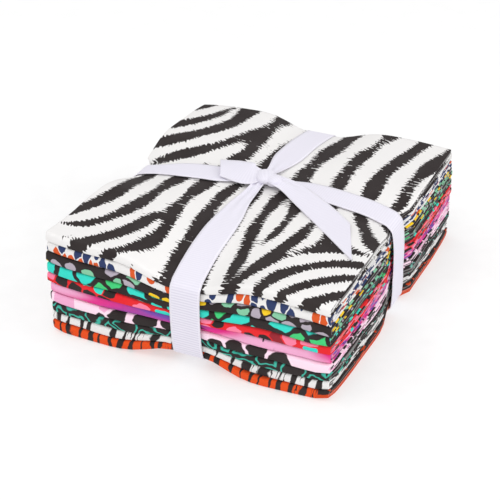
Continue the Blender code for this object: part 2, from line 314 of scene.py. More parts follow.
class Signal:
    """A node's output that can be calculated with: each operator adds a Math node."""

    def __init__(self, graph: "Graph", socket: Socket):
        """Args: graph, the one it belongs to; socket, the node's output."""
        self.graph, self.socket = graph, socket

    def __add__(self, other: "Value") -> "Signal":
        """The sum."""
        return self.graph.math("ADD", self, other)

    def __sub__(self, other: "Value") -> "Signal":
        """The difference."""
        return self.graph.math("SUBTRACT", self, other)

    def __rsub__(self, other: float) -> "Signal":
        """A number less this one."""
        return self.graph.math("SUBTRACT", other, self)

    def __mul__(self, other: "Value") -> "Signal":
        """The product."""
        return self.graph.math("MULTIPLY", self, other)

    def most(self, other: "Value") -> "Signal":
        """The larger of the two."""
        return self.graph.math("MAXIMUM", self, other)

    def size(self) -> "Signal":
        """The value without its sign."""
        return self.graph.math("ABSOLUTE", self)

    def sine(self, wavelength: float = 2 * math.pi, start: float = 0.0) -> "Signal":
        """A sine wave over the value. Args: wavelength; start, a share of it."""
        turn = 2 * math.pi / wavelength
        return self.graph.math("SINE", self.graph.math("MULTIPLY_ADD", self, turn, 2 * math.pi * start))


Value = Union[float, tuple, Signal]


class Graph:
    """A short way to write a material's node tree: each call adds one node and returns its output."""

    SPECULAR = 0.15
    SHEEN_ROUGHNESS = 0.5
    CELL_JITTER = 0.9
    # The stack's right side begins between these places in x, and its front corner ends in y.
    RIGHT_SIDE = (68 * MM, 71 * MM)
    FRONT_CORNER = (-88 * MM, -86 * MM)

    def __init__(self, name: str):
        """Args: name, the new material's name."""
        self.material = bpy.data.materials.new(name)
        self.material.use_nodes = True
        self.tree = self.material.node_tree
        self.shader = self.tree.nodes["Principled BSDF"]

    def _feed(self, socket: Socket, value: Optional[Value]) -> None:
        """Links a signal to an input, or sets the input's value. Args: socket; value."""
        if isinstance(value, Signal):
            self.tree.links.new(value.socket, socket)
        elif value is not None:
            socket.default_value = value

    def add(self, kind: str, values: Union[tuple, dict] = (), output: Union[int, str] = 0,
            **settings: object) -> Signal:
        """Adds a node.

        Args: kind; values, for its inputs in order or by name; output; settings, its properties.
        Returns: the node's output.
        """
        node = self.tree.nodes.new(kind)
        for key, value in settings.items():
            setattr(node, key, value)
        pairs = values.items() if isinstance(values, dict) else enumerate(values)
        for key, value in pairs:
            self._feed(node.inputs[key], value)
        return Signal(self, node.outputs[output])

    def math(self, operation: str, *values: Value) -> Signal:
        """A Math node."""
        return self.add("ShaderNodeMath", values, operation=operation)

    def vector(self, operation: str, *values: Value) -> Signal:
        """A Vector Math node."""
        return self.add("ShaderNodeVectorMath", values, operation=operation)

    def part(self, vector: Signal, axis: int) -> Signal:
        """One coordinate of a vector."""
        return self.add("ShaderNodeSeparateXYZ", (vector,), axis)

    def step(self, value: Signal, low: float, high: float) -> Signal:
        """A smooth step from 0 at low to 1 at high, which may be the smaller one."""
        values = {"Value": value, "From Min": low, "From Max": high}
        return self.add("ShaderNodeMapRange", values, interpolation_type="SMOOTHSTEP")

    def mix(self, share: Value, first: Value, second: Value) -> Signal:
        """A mix of two colours."""
        return self.add("ShaderNodeMix", {0: share, 6: first, 7: second}, 2, data_type="RGBA")

    def noise(self, vector: Signal, scale: float, detail: float = 0.0, output: int = 0) -> Signal:
        """A noise texture. Args: vector, in metres; scale, per metre; output, 0 value, 1 colour."""
        return self.add("ShaderNodeTexNoise", {"Vector": vector, "Scale": scale, "Detail": detail}, output)

    def cells(self, vector: Signal, scale: float, output: str = "Distance", feature: str = "F1") -> Signal:
        """A pattern of jittered cells. Args: vector; scale; output's name; feature."""
        values = {"Vector": vector, "Scale": scale, "Randomness": self.CELL_JITTER}
        return self.add("ShaderNodeTexVoronoi", values, output, feature=feature, voronoi_dimensions="2D")

    def channel(self, colour: Signal, index: int) -> Signal:
        """One channel of a colour."""
        return self.add("ShaderNodeSeparateColor", (colour,), index)

    def shades(self, value: Signal, inks: tuple, blended: bool = False) -> Signal:
        """A colour ramp.

        Args: value; inks, (place, ink) pairs; blended, whether they blend or change in clear steps.
        Returns: the colour.
        """
        output = self.add("ShaderNodeValToRGB", (value,))
        ramp = output.socket.node.color_ramp
        ramp.interpolation = "EASE" if blended else "CONSTANT"
        while len(ramp.elements) > 1:
            ramp.elements.remove(ramp.elements[-1])
        ramp.elements[0].position, ramp.elements[0].color = inks[0][0], inks[0][1].value
        for place, ink in inks[1:]:
            ramp.elements.new(place).color = ink.value
        return output

    def across(self, start: float, end: float, axis: int = 0) -> Signal:
        """0 to 1 from one place in the stack to another. Args: start; end, in metres; axis."""
        return self.step(self.part(self.add("ShaderNodeTexCoord", output=3), axis), start, end)

    def right_side(self) -> Signal:
        """1 on the stack's right side, up to its front corner."""
        return self.across(*self.RIGHT_SIDE) * self.across(*self.FRONT_CORNER, axis=1)

    def attribute(self, name: str) -> Signal:
        """A value stored on the mesh."""
        return self.add("ShaderNodeAttribute", attribute_name=name, output=2)

    def uv(self, scale: tuple = (), shift: tuple = (), turn: float = 0.0) -> Signal:
        """The flat cloth's own coordinates.

        Args: scale; shift, in metres; turn, in degrees.
        Returns: the coordinates, in metres.
        """
        flat = self.add("ShaderNodeUVMap", uv_map="cloth")
        if not (scale or shift or turn):
            return flat
        values = {"Vector": flat, "Location": (*shift, 0) if shift else None,
                  "Rotation": (0, 0, math.radians(turn)), "Scale": (*scale, 1) if scale else None}
        return self.add("ShaderNodeMapping", values)

    def wobble(self, vector: Signal, amount: float, wavelength: float) -> Signal:
        """A vector pushed about by noise.

        Args: vector; amount and wavelength, in metres.
        Returns: the moved vector.
        """
        noise = self.noise(vector, 1 / wavelength, 2.0, output=1)
        centred = self.vector("SUBTRACT", noise, (0.5, 0.5, 0.5))
        return self.vector("ADD", vector, self.vector("MULTIPLY", centred, (2 * amount,) * 3))

    def bump(self, strength: float, depth: float, height: Signal) -> Signal:
        """A bump. Args: strength, 0 to 1; depth, in metres; height, 0 to 1."""
        return self.add("ShaderNodeBump", {"Strength": strength, "Distance": depth, "Height": height})

    def finish(self, colour: Signal, roughness: float, sheen: float,
               normal: Optional[Signal] = None) -> bpy.types.Material:
        """Connects the shader. Args: colour; roughness; sheen, its weight; normal, from a bump.

        Returns: the material.
        """
        values = {"Base Color": colour, "Roughness": roughness, "Specular IOR Level": self.SPECULAR,
                  "Sheen Weight": sheen, "Sheen Roughness": self.SHEEN_ROUGHNESS, "Normal": normal}
        for name, value in values.items():
            self._feed(self.shader.inputs[name], value)
        return self.material


class Ink(Enum):
    """The inks of the ten prints."""

    BLACK = linear(44, 37, 37)
    WHITE = linear(231, 229, 228)
    NAVY = linear(44, 58, 100)
    ORANGE = linear(216, 87, 36)
    TIGER = linear(228, 76, 18)
    LILAC = linear(176, 166, 178)
    MINT = linear(132, 196, 160)
    SAGE = linear(122, 172, 142)
    YELLOW = linear(242, 200, 34)
    TURQUOISE = linear(52, 214, 196)
    GREEN = linear(66, 202, 120)
    RED = linear(228, 36, 43)
    ROSE = linear(248, 128, 160)
    MAGENTA = linear(225, 52, 140)
    PURPLE = linear(120, 76, 172)
    PINK = linear(238, 170, 206)
    BLUSH = linear(250, 220, 236)
    TEAL = linear(62, 178, 158)
    DEEP_RED = linear(150, 32, 44)


@dataclass(frozen=True)
class Print:
    """What the prints share: a name, and a seed that moves the pattern on the cloth."""

    SEED_STEP = (13 * MM, 29 * MM)

    name: str
    seed: float = field(default=0.0, kw_only=True)

    def shift(self) -> tuple:
        """How far the pattern is moved on the cloth."""
        return tuple(step * self.seed for step in self.SEED_STEP)

    def paint(self, graph: Graph) -> Signal:
        """Returns the print's colour. Args: graph, the material's."""
        raise NotImplementedError


@dataclass(frozen=True)
class PatchPrint(Print):
    """Patches of colour on a ground: animal spots, giraffe patches or thin scales."""

    ground: Ink
    inks: tuple  # (share of the patches from which it starts, ink)
    size: float  # metres between patches
    gap: float = 0.0  # distance of a patch from its neighbours' border, as a share of the size
    radius: float = 0.0  # how far a rounded patch reaches, as a share of the size
    spread: float = 0.0  # how much smaller the smallest patch is
    outline: float = 0.0  # share of a patch, where the patches are only lines
    stretch: tuple = (1.0, 1.0)
    lean: float = 0.0
    bend: float = 0.2  # how uneven the patches are
    bend_wavelength: float = 0.7  # as a share of the size
    softness: float = 0.02  # of a patch's edge, as a share of the size
    # On the stack's right side: another ink, its share of the patches, and how bare the ground is,
    # as levels of a noise between which the patches end.
    side: Optional[Ink] = None
    side_share: float = 0.25
    side_bare: tuple = (0.56, 0.5)

    def paint(self, graph: Graph) -> Signal:
        """Returns the print's colour. Args: graph, the material's."""
        scale = (1 / self.stretch[0], 1 / self.stretch[1])
        flat = graph.uv(scale, self.shift(), self.lean)
        bent = graph.wobble(flat, self.size * self.bend, self.size * self.bend_wavelength)
        density, soft = 1 / self.size, self.softness
        keys = graph.cells(bent, density, "Color")
        key = graph.channel(keys, 1)
        colour = graph.shades(graph.channel(keys, 0), self.inks)
        edge = graph.cells(bent, density, feature="DISTANCE_TO_EDGE")
        patch = graph.step(edge, self.gap - soft, self.gap + soft)
        if self.outline:
            inner = self.gap + self.outline
            patch = patch * graph.step(edge, inner + soft, inner - soft)
        if self.radius:
            near = key * self.spread + graph.cells(bent, density)
            patch = patch * graph.step(near, self.radius + soft, self.radius - soft)
        if self.side:
            side = graph.right_side()
            other = graph.step(key, self.side_share + 0.01, self.side_share - 0.01)
            colour = graph.mix(side * other, colour, self.side.value)
            bare = graph.step(graph.noise(flat, 1.3 * density, 1.0), *self.side_bare)
            patch = patch * (1.0 - side * bare)
        return graph.mix(patch, self.ground.value, colour)


@dataclass(frozen=True)
class BarPrint(Print):
    """Uneven bars that fork and taper, with a few hairlines between them."""

    SEED_STEP = (17 * MM, 23 * MM)

    ground: Ink
    bar: Ink
    pitch: float  # metres between bars
    width: float  # share of the pitch
    lean: float = 0.0
    hairs: float = 0.0  # how much of the ground has hairlines
    clear_side: bool = False  # whether the bars end before the stack's right side, which is also darkened with painted shade
    wander: float = 0.3  # how far a bar's edge strays, as a share of the pitch
    forking: float = 2.2  # how many pitches the bars drift by, which makes them fork
    swell: float = 1.7  # how much a bar's width varies, as a share of it
    taper: float = 0.35  # how much is taken off it everywhere, so that thin places end
    softness: float = 0.04
    change: float = 0.22  # how fast a bar changes along, against across
    hair_change: float = 0.12
    hair_pitch: float = 0.3
    hair_width: float = 0.13
    # On the cleared side: how much painted shade darkens the whole side, the heights below which it
    # is clear and above which it has blots, and the levels of a noise between which a blot begins.
    painted_side_shade: float = 0.22
    clear_height: tuple = (3.0 * MM, 2.5 * MM)
    blot_height: tuple = (2.7 * MM, 3.2 * MM)
    blot_level: tuple = (0.40, 0.44)

    def _bars(self, graph: Graph, flat: Signal, pitch: float, width: float, change: float) -> Signal:
        """Uneven bars.

        Args: graph; flat, the cloth's coordinates; pitch; width; change, as the field.
        Returns: 1 where a bar is.
        """
        bent = graph.wobble(flat, pitch * self.wander, pitch * 1.1)
        drift = graph.noise(graph.vector("MULTIPLY", flat, (1, change, 1)), 0.55 / pitch, 1.0)
        phase = graph.math("FRACT", drift * self.forking + graph.part(bent, 0) * (1 / pitch))
        reach = graph.noise(flat, 0.7 / pitch, 1.0) * (self.swell * width) - self.taper * width
        return graph.step((phase - 0.5).size() - reach, self.softness, -self.softness)

    def paint(self, graph: Graph) -> Signal:
        """Returns the print's colour. Args: graph, the material's."""
        flat = graph.uv(shift=self.shift(), turn=self.lean)
        mask = self._bars(graph, flat, self.pitch, self.width, self.change)
        if self.hairs:
            hair = self._bars(graph, flat, self.pitch * self.hair_pitch, self.hair_width, self.hair_change)
            limit = 0.65 - 0.3 * self.hairs
            where = graph.step(graph.noise(flat, 0.35 / self.pitch), limit - 0.01, limit + 0.01)
            mask = mask.most(hair * where)
        if self.clear_side:
            side = graph.across(*graph.RIGHT_SIDE)
            height = graph.attribute("free_height")
            blot = graph.step(graph.noise(flat, 1.4 / self.pitch, 1.0), *self.blot_level)
            blot = blot * graph.step(height, *self.blot_height)
            clear = graph.step(height, *self.clear_height)
            mask = mask.most(blot * side) * (1.0 - side * clear)
            # Painted shade: the whole right side is darkened towards the black ink, as if it faced away from
            # the light.
            mask = mask.most(side * self.painted_side_shade)
        return graph.mix(mask, self.ground.value, self.bar.value)


@dataclass(frozen=True)
class BlendPrint(Print):
    """Broad flames that run through several inks along the cloth, with thin dark lines and dots."""

    SEED_STEP = (31 * MM, 19 * MM)

    inks: tuple
    line: Ink
    size: float
    swing: float  # metres from one flame to the next
    start: float  # where the first one is, as a share of the swing
    # What the flames, a noise and fine streaks add to the tone, and more streaks on the right side.
    swing_share: float = 0.36
    noise_share: float = 0.8
    streak_share: float = 0.7
    side_streaks: float = 1.6
    base: float = 0.02
    # At the right end of the front the tone is lower by this much, from and to these places in x.
    right_drop: float = 0.42
    right_end: tuple = (25 * MM, 60 * MM)
    # The dark lines and dots: their sizes, the noise levels where lines show, and from where in x
    # dots do.
    line_width: tuple = (0.045, 0.02)
    line_level: tuple = (0.56, 0.6)
    dot_size: tuple = (0.42, 0.38)
    dot_start: tuple = (-34 * MM, -26 * MM)

    def paint(self, graph: Graph) -> Signal:
        """Returns the print's colour. Args: graph, the material's."""
        flat = graph.uv((0.35, 1), self.shift())
        bent = graph.wobble(flat, self.size * 0.4, self.size)
        density, side = 1 / self.size, graph.right_side()
        wave = graph.part(graph.uv(), 0).sine(self.swing, self.start)
        tone = wave * self.swing_share + graph.noise(bent, 0.7 * density, 1.0) * self.noise_share + self.base
        fine = graph.noise(graph.uv((0.12, 1)), 2.2 * density) - 0.5
        tone = tone + fine * (side * self.side_streaks + self.streak_share)
        tone = tone - (graph.across(*self.right_end) - side) * self.right_drop
        colour = graph.shades(tone, self.inks, blended=True)
        edge = graph.cells(bent, 0.8 * density, feature="DISTANCE_TO_EDGE")
        where = graph.step(graph.noise(flat, 0.9 * density), *self.line_level)
        line = graph.step(edge, *self.line_width) * where
        dots = graph.wobble(graph.uv((1.3, 0.9), (0.032, 0.0)), self.size * 0.15, self.size * 0.5)
        key = graph.channel(graph.cells(dots, 1.1 * density, "Color"), 0)
        near = key * 0.9 + graph.cells(dots, 1.1 * density)
        dot = graph.step(near, *self.dot_size) * graph.across(*self.dot_start)
        return graph.mix(line.most(dot), colour, self.line.value)


@dataclass(frozen=True)
class ZebraPrint(Print):
    """Flowing zebra stripes with bristling edges; the flow is stored on the mesh."""

    ground: Ink = Ink.WHITE
    stripe: Ink = Ink.BLACK
    taps: int = 3  # readings of the noise, each way along a hair
    tap: float = 0.5 * MM
    hair_width: float = 1.0 * MM
    bristle: float = 0.6
    softness: float = 0.07

    def paint(self, graph: Graph) -> Signal:
        """Returns the print's colour. Args: graph, the material's."""
        sine, cosine = (graph.attribute(f"heading_{part}") for part in ("sin", "cos"))
        heading = graph.math("ARCTAN2", sine, cosine) * 0.5
        hair = graph.add("ShaderNodeCombineXYZ", (heading.sine() * -1.0, graph.math("COSINE", heading)))
        flat, level = graph.uv(), graph.attribute("zebra")
        for count in range(-self.taps, self.taps + 1):
            push = graph.add("ShaderNodeVectorMath", {0: hair, "Scale": count * self.tap}, operation="SCALE")
            value = graph.noise(graph.vector("ADD", flat, push), 1 / self.hair_width)
            level = level + (value - 0.5) * self.bristle
        mask = graph.step(level, -self.softness, self.softness)
        return graph.mix(mask, self.ground.value, self.stripe.value)


@dataclass(frozen=True)
class CottonFinish:
    """Quilting cotton: a fine plain weave, a soft sheen, and a reverse that the print shows through."""

    thread_pitch: float = 0.42 * MM
    thread_depth: float = 0.05 * MM
    bump: float = 0.35
    slubs: float = 1.5
    slub_size: float = 1 / 900
    worn_spot: float = 1 / 60
    roughness: float = 0.88
    sheen: float = 0.03
    # How much paler than the print the worn spots of the face, the reverse and the cut edge are.
    worn_share: float = 0.015
    reverse_share: float = 0.30
    edge_share: float = 0.10

    def _weave(self, graph: Graph) -> Signal:
        """A plain weave with slubs.

        Args: graph, the material's.
        Returns: the bump's normal.
        """
        flat = graph.uv()
        warp, weft = (graph.part(flat, axis).sine(self.thread_pitch) for axis in (0, 1))
        slubs = graph.noise(flat, 1 / self.slub_size, 3.0) * self.slubs
        return graph.bump(self.bump, self.thread_depth, warp * weft + slubs)

    def materials(self, design: Print) -> list:
        """The materials of one printed cotton.

        Args: design, the print.
        Returns: three materials: the face, the reverse and the cut edge.
        """
        made = []
        shares = {"face": self.worn_share, "reverse": self.reverse_share, "edge": self.edge_share}
        for side, share in shares.items():
            graph = Graph(f"{design.name}_{side}")
            if side == "face":
                spots = graph.noise(graph.uv(), 1 / self.worn_spot, 2.0)
                share = graph.step(spots, 0.2, 0.8) * share
            colour = graph.mix(share, design.paint(graph), Ink.WHITE.value)
            made.append(graph.finish(colour, self.roughness, self.sheen, self._weave(graph)))
        return made


@dataclass(frozen=True)
class RibbonFinish:
    """White grosgrain: cross ribs with painted shade between them, weaker where the ribbon lies flat, a faint
    sheen from the shader, and a flat woven edge on each side.
    """

    colour: tuple = linear(227, 224, 235)
    painted_rib_shade: tuple = linear(212, 208, 222)
    edge_colour: tuple = linear(232, 229, 239)
    rib_pitch: float = RIB_PITCH
    rib_depth: float = 0.05 * MM
    thread_pitch: float = 0.25 * MM
    width: float = RIBBON_WIDTH
    edge_width: float = 1.1 * MM
    edge_blur: float = 0.2 * MM
    rib_step: tuple = (-0.9, 0.6)  # the heights of a rib's wave between which its painted shade clears
    flat_share: float = 0.75  # how little painted shade is left between the ribs where the ribbon lies flat and the light falls evenly on it
    bump: float = 0.25
    thread_share: float = 0.4
    roughness: float = 0.55
    sheen: float = 0.2

    def material(self, name: str) -> bpy.types.Material:
        """Returns the ribbon's material. Args: name."""
        graph = Graph(name)
        across, along = (graph.part(graph.uv(), axis) for axis in (0, 1))
        rib = graph.step(along.sine(self.rib_pitch), *self.rib_step)
        # Painted shade: the valleys between the ribs are darkened in the colour, strongly where the ribbon
        # stands upright and faintly where it faces up, as light from above falls.
        level = graph.part(graph.add("ShaderNodeNewGeometry", output=1), 2).size()
        colour = graph.mix(rib.most(level * self.flat_share), self.painted_rib_shade, self.colour)
        start = self.width / 2 - self.edge_width
        edge = graph.step(across.size(), start, start + self.edge_blur)
        colour = graph.mix(edge, colour, self.edge_colour)
        threads = across.sine(self.thread_pitch) * self.thread_share
        normal = graph.bump(self.bump, self.rib_depth, threads + rib)
        return graph.finish(colour, self.roughness, self.sheen, normal)


# ------------------------------------------------------------------------------------ the zebra


@dataclass(frozen=True)
class ZebraFlow:
    """The zebra's stripes, grown on the flat cloth by drawing noise out along a field of headings.

    Each point of a grid is replaced, a few dozen times, by the sum of its neighbours weighted with
    a wave across the heading, so that stripes form, join, fork and end by themselves. Places are in
    mm on the flat cloth, from the middle of its top face, y towards the back.
    """

    streams: tuple = (
        # x, y, heading from +x in degrees, distance between stripes in mm
        (-76, 80, 62, 20), (-74, 48, 34, 18), (-72, 22, 14, 16), (-58, 30, 30, 16), (-52, 60, 58, 17),
        (-42, 84, 84, 18), (-40, 34, 50, 16), (-26, 20, 78, 18), (-26, 50, 84, 20), (-24, 85, 80, 19),
        (8, 30, 90, 19), (12, 75, 76, 18), (26, 28, 102, 18), (32, 70, 62, 20), (46, 35, 88, 19),
        (56, 80, 62, 19), (66, 40, 88, 19), (72, 80, 72, 18), (56, -10, 118, 18), (72, -28, 124, 17),
        (38, -12, 108, 15), (-74, -14, 118, 16), (-60, -14, 104, 16), (-66, -38, 82, 15),
        (-50, -36, 94, 15), (-36, -30, 100, 15), (-22, -22, 98, 16), (-16, -55, 94, 15),
        (-74, -62, 50, 15), (-72, -80, 14, 15), (-56, -66, 50, 15), (-40, -66, 76, 15),
        (-40, -84, 48, 15), (-10, -82, 112, 15), (-24, -88, 60, 14), (8, -30, 106, 14),
        (14, -60, 114, 13), (20, -28, 98, 13), (32, -48, 72, 13), (30, -20, 96, 13),
        (36, -84, 84, 14), (44, -62, 54, 14), (58, -52, 22, 14), (74, -48, 6, 14), (60, -76, 54, 13),
        (74, -68, 26, 13), (58, -92, 78, 13), (74, -88, 48, 13),
    )
    nearness: float = 110.0  # a stream holds sway within the square root of this
    falloff: float = 1.7
    pitch: float = 1.5
    low: tuple = (-96.0, -114.0)
    high: tuple = (96.0, 100.0)
    reach: float = 21.0
    across: float = 0.40
    along: float = 0.62
    gain: float = 2.2
    rounds: int = 40
    free_rounds: int = 3  # the first ones, in which the stripes' strength isn't limited
    blur_rounds: int = 30  # of the strength that the stripes are made even by
    seed: int = 5
    level: float = -0.04
    uneven: float = 0.40  # how much some places are darker than others, and how wide those are
    uneven_wavelength: float = 48.0
    weakest: float = 0.45  # the least strength, against the mean, by which a stripe is made even
    fading: float = 0.5  # how much weak stripes fade to white
    # x, y, reach in mm, and how much whiter it is round there.
    paler: tuple = ((48, 45, 38, 0.30), (-78, -88, 10, 2.4), (-30, -96, 14, 0.15))

    def _headings(self, x: Array, y: Array) -> tuple:
        """The field that the stripes follow.

        Args: x and y, in mm.
        Returns: the heading as a double angle, and the distance between stripes in mm.
        """
        rows = np.array(self.streams, float)
        near = (x[..., None] - rows[:, 0]) ** 2 + (y[..., None] - rows[:, 1]) ** 2
        weight = 1 / (near + self.nearness) ** self.falloff
        weight /= weight.sum(-1, keepdims=True)
        double = (weight * np.exp(2j * np.radians(rows[:, 2]))).sum(-1)
        return double / np.abs(double), (weight * rows[:, 3]).sum(-1)

    def _blur(self, values: Array) -> Array:
        """Mixes each value of a grid with its neighbours, a few dozen times.

        Args: values.
        Returns: the smoother grid.
        """
        for _ in range(self.blur_rounds):
            padded = np.pad(values, 1, mode="edge")
            beside = padded[:-2, 1:-1] + padded[2:, 1:-1] + padded[1:-1, :-2] + padded[1:-1, 2:]
            values = (beside + 4 * values) / 8
        return values

    def grow(self) -> tuple:
        """Returns the grid's two axes, the stripes (positive where dark) and the double angle."""
        xs, ys = (np.arange(low, high + 0.1, self.pitch) for low, high in zip(self.low, self.high))
        x, y = np.meshgrid(xs, ys)
        double, apart = self._headings(x, y)
        heading = np.angle(double) / 2
        reach = round(self.reach / self.pitch)
        span = range(-reach, reach + 1)
        steps = [(i, j) for i in span for j in span if i * i + j * j <= reach * reach]
        weights = []
        for i, j in steps:
            across = (j * np.cos(heading) - i * np.sin(heading)) * self.pitch / apart
            along = (i * np.cos(heading) + j * np.sin(heading)) * self.pitch / apart
            bell = np.exp(-0.5 * (across / self.across) ** 2 - 0.5 * (along / self.along) ** 2)
            weights.append(bell * np.cos(2 * np.pi * across))
        weights = np.array(weights)
        weights /= np.abs(weights).sum(0)
        stripes = np.random.default_rng(self.seed).normal(size=x.shape)
        high, wide = x.shape
        for count in range(self.rounds):
            padded = np.pad(stripes, reach, mode="reflect")
            total = np.zeros_like(stripes)
            for weight, (i, j) in zip(weights, steps):
                total += weight * padded[reach + j : reach + j + high, reach + i : reach + i + wide]
            if count < self.free_rounds:
                total /= np.sqrt((total**2).mean())
                stripes = total
            else:
                stripes = np.tanh(self.gain * total)
        strength = np.sqrt(2 * self._blur(total**2))
        mean = strength.mean()
        stripes = total / np.maximum(strength, self.weakest * mean)
        stripes -= self.fading * (1 - np.clip(strength / mean, 0, 1)) + self.level
        stripes -= self.uneven * Waves(41, self.uneven_wavelength, 2)(x, y)
        for centre_x, centre_y, wide, amount in self.paler:
            stripes -= amount * np.exp(-((x - centre_x) ** 2 + (y - centre_y) ** 2) / wide**2)
        return xs, ys, stripes, double

    def store(self, mesh: bpy.types.Mesh, u: Array, v: Array) -> None:
        """Stores the stripes on a mesh's vertices. Args: mesh; u and v, in metres, one a vertex."""
        xs, ys, stripes, double = self.grow()
        places = []
        for value, axis in ((u / MM, xs), (v / MM, ys)):
            span = axis[-1] - axis[0] - 0.01
            turned = np.abs((value - axis[0] + span) % (2 * span) - span)
            places.append(np.clip(turned, 0, span) / self.pitch)
        column, row = (p.astype(int) for p in places)
        across, up = (p - p.astype(int) for p in places)
        grids = {"zebra": stripes, "heading_cos": double.real, "heading_sin": double.imag}
        for name, grid in grids.items():
            lower = grid[row, column] * (1 - across) + grid[row, column + 1] * across
            upper = grid[row + 1, column] * (1 - across) + grid[row + 1, column + 1] * across
            store_values(mesh, name, lower * (1 - up) + upper * up)


# ------------------------------------------------------------------------------- the folded cloth


def level_part(start: float, end: float, spacing: float, *same: float) -> Array:
    """A straight part of a folded line, with its points closer together near both ends.

    Args: start and end; spacing, in metres; same, the values that stay as they are along it.
    Returns: rows of places and of each value.
    """
    t = np.linspace(0, 1, max(4, round(abs(end - start) / spacing)) + 1)
    place = start + (end - start) * (t - 0.06 * np.sin(2 * np.pi * t))
    return np.stack([place, *(np.full_like(place, value) for value in same)])


def fold_part(centre: tuple, reach: tuple, angles: tuple, passes: tuple, steps: int,
              power: float = 2.0) -> Array:
    """The bend of a folded line, without its two ends.

    Args: centre and reach, two lengths each; angles, the first and last, in degrees; passes, the
        numbers of the straight parts that it joins; steps; power, 2 for a round fold and more for
        a squarer one.
    Returns: rows of the two coordinates and of the pass.
    """
    t = np.linspace(0, 1, steps + 1)[1:-1]
    angle = np.radians(angles[0] + (angles[1] - angles[0]) * t)
    rows = []
    for middle, radius, wave in zip(centre, reach, (np.cos(angle), np.sin(angle))):
        rows.append(middle + radius * np.sign(wave) * np.abs(wave) ** (2 / power))
    return np.stack([*rows, passes[0] + (passes[1] - passes[0]) * t])


@dataclass(frozen=True)
class QuarterSize:
    """One folded fat quarter, in metres."""

    width: float = CLOTH_WIDTH
    length: float = CLOTH_LENGTH
    ply: float = 0.32 * MM
    coarse: float = 5.5 * MM
    fine: float = 1.5 * MM
    fold_squareness: float = 4.2
    fold_reach: float = 0.62
    # How far a ply's edges stray: in waves, and each one as a whole.
    edge_wave: float = 0.38 * MM
    edge_draw: tuple = (-0.45 * MM, 0.15 * MM)
    front_lean: float = 0.35 * MM
    back_lean: float = 0.5 * MM
    wave_lengths: tuple = (60 * MM, 70 * MM, 60 * MM)  # of the edges, the front and the back
    # How much the plies wave up and down near the sides, and over which heights that grows from the
    # floor and ends below the top.
    rise: float = 0.38 * MM
    rise_wavelength: float = 38 * MM
    still_foot: float = 6 * MM
    still_top: float = 3 * MM


@dataclass(frozen=True)
class QuarterPlace:
    """Where one quarter lies in the stack: how far, in mm, each edge is inside the square stack."""

    node: str
    design: Print
    front: float = 0.0
    back: float = 0.0
    side: float = 0.0
    skew: float = 0.0
    left: float = 0.0
    ragged: float = 1.0


